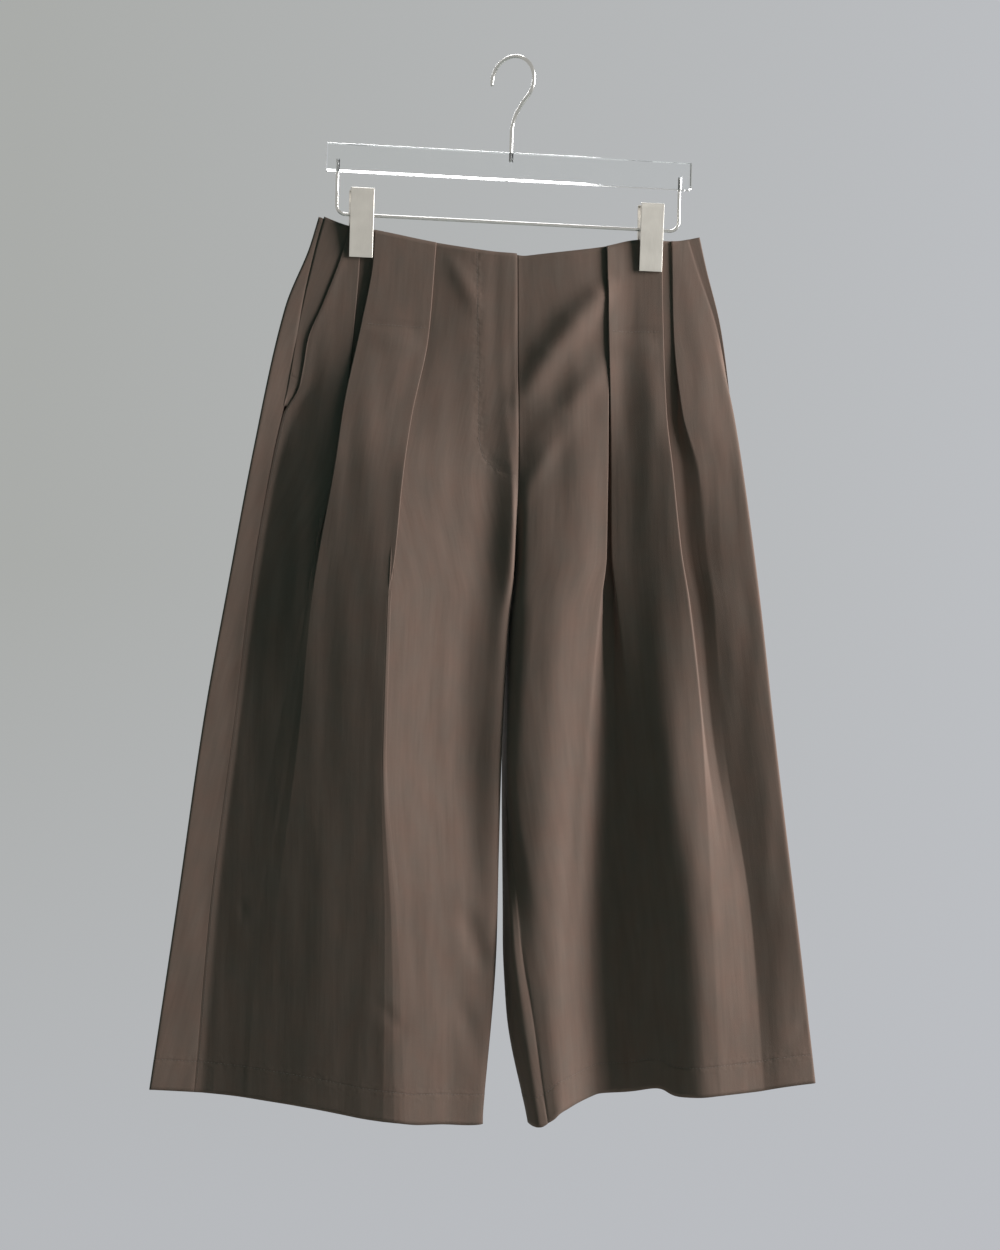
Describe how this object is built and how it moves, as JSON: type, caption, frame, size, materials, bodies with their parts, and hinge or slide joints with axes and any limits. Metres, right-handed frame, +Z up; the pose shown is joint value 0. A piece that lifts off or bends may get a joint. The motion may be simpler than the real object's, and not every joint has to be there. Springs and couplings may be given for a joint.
{
  "type": "pleated bermuda shorts on a clip hanger",
  "caption": "Wide-legged pleated bermuda shorts with a lapped fly and slant pockets, hung by the waist from a clear bar hanger with metal clips.",
  "frame": {"origin": "inside top of the hanger's hook, where it rests on a rail", "axes": "+X to the viewer's right (the wearer's left), +Z up, the front of the garment faces -Y"},
  "size_m": [0.5955, 0.1137, 0.9402],
  "materials": {
    "taupe_cotton": "plain woven cotton, matt with a slight sheen",
    "clear_acrylic": "clear and polished",
    "steel_wire": "plated wire",
    "satin_nickel": "satin nickel plate"
  },
  "bodies": {
    "root": {"front_right": "taupe_cotton", "front_left": "taupe_cotton", "back_right": "taupe_cotton", "back_left": "taupe_cotton", "pocket_facing_right": "taupe_cotton", "pocket_facing_left": "taupe_cotton", "hanger_bar": "clear_acrylic", "hook": "steel_wire", "clip_wire": "steel_wire", "clip_front_right": "satin_nickel", "clip_back_right": "satin_nickel", "clip_barrel_right": "satin_nickel", "clip_front_left": "satin_nickel", "clip_back_left": "satin_nickel", "clip_barrel_left": "satin_nickel"}
  },
  "joints": []
}
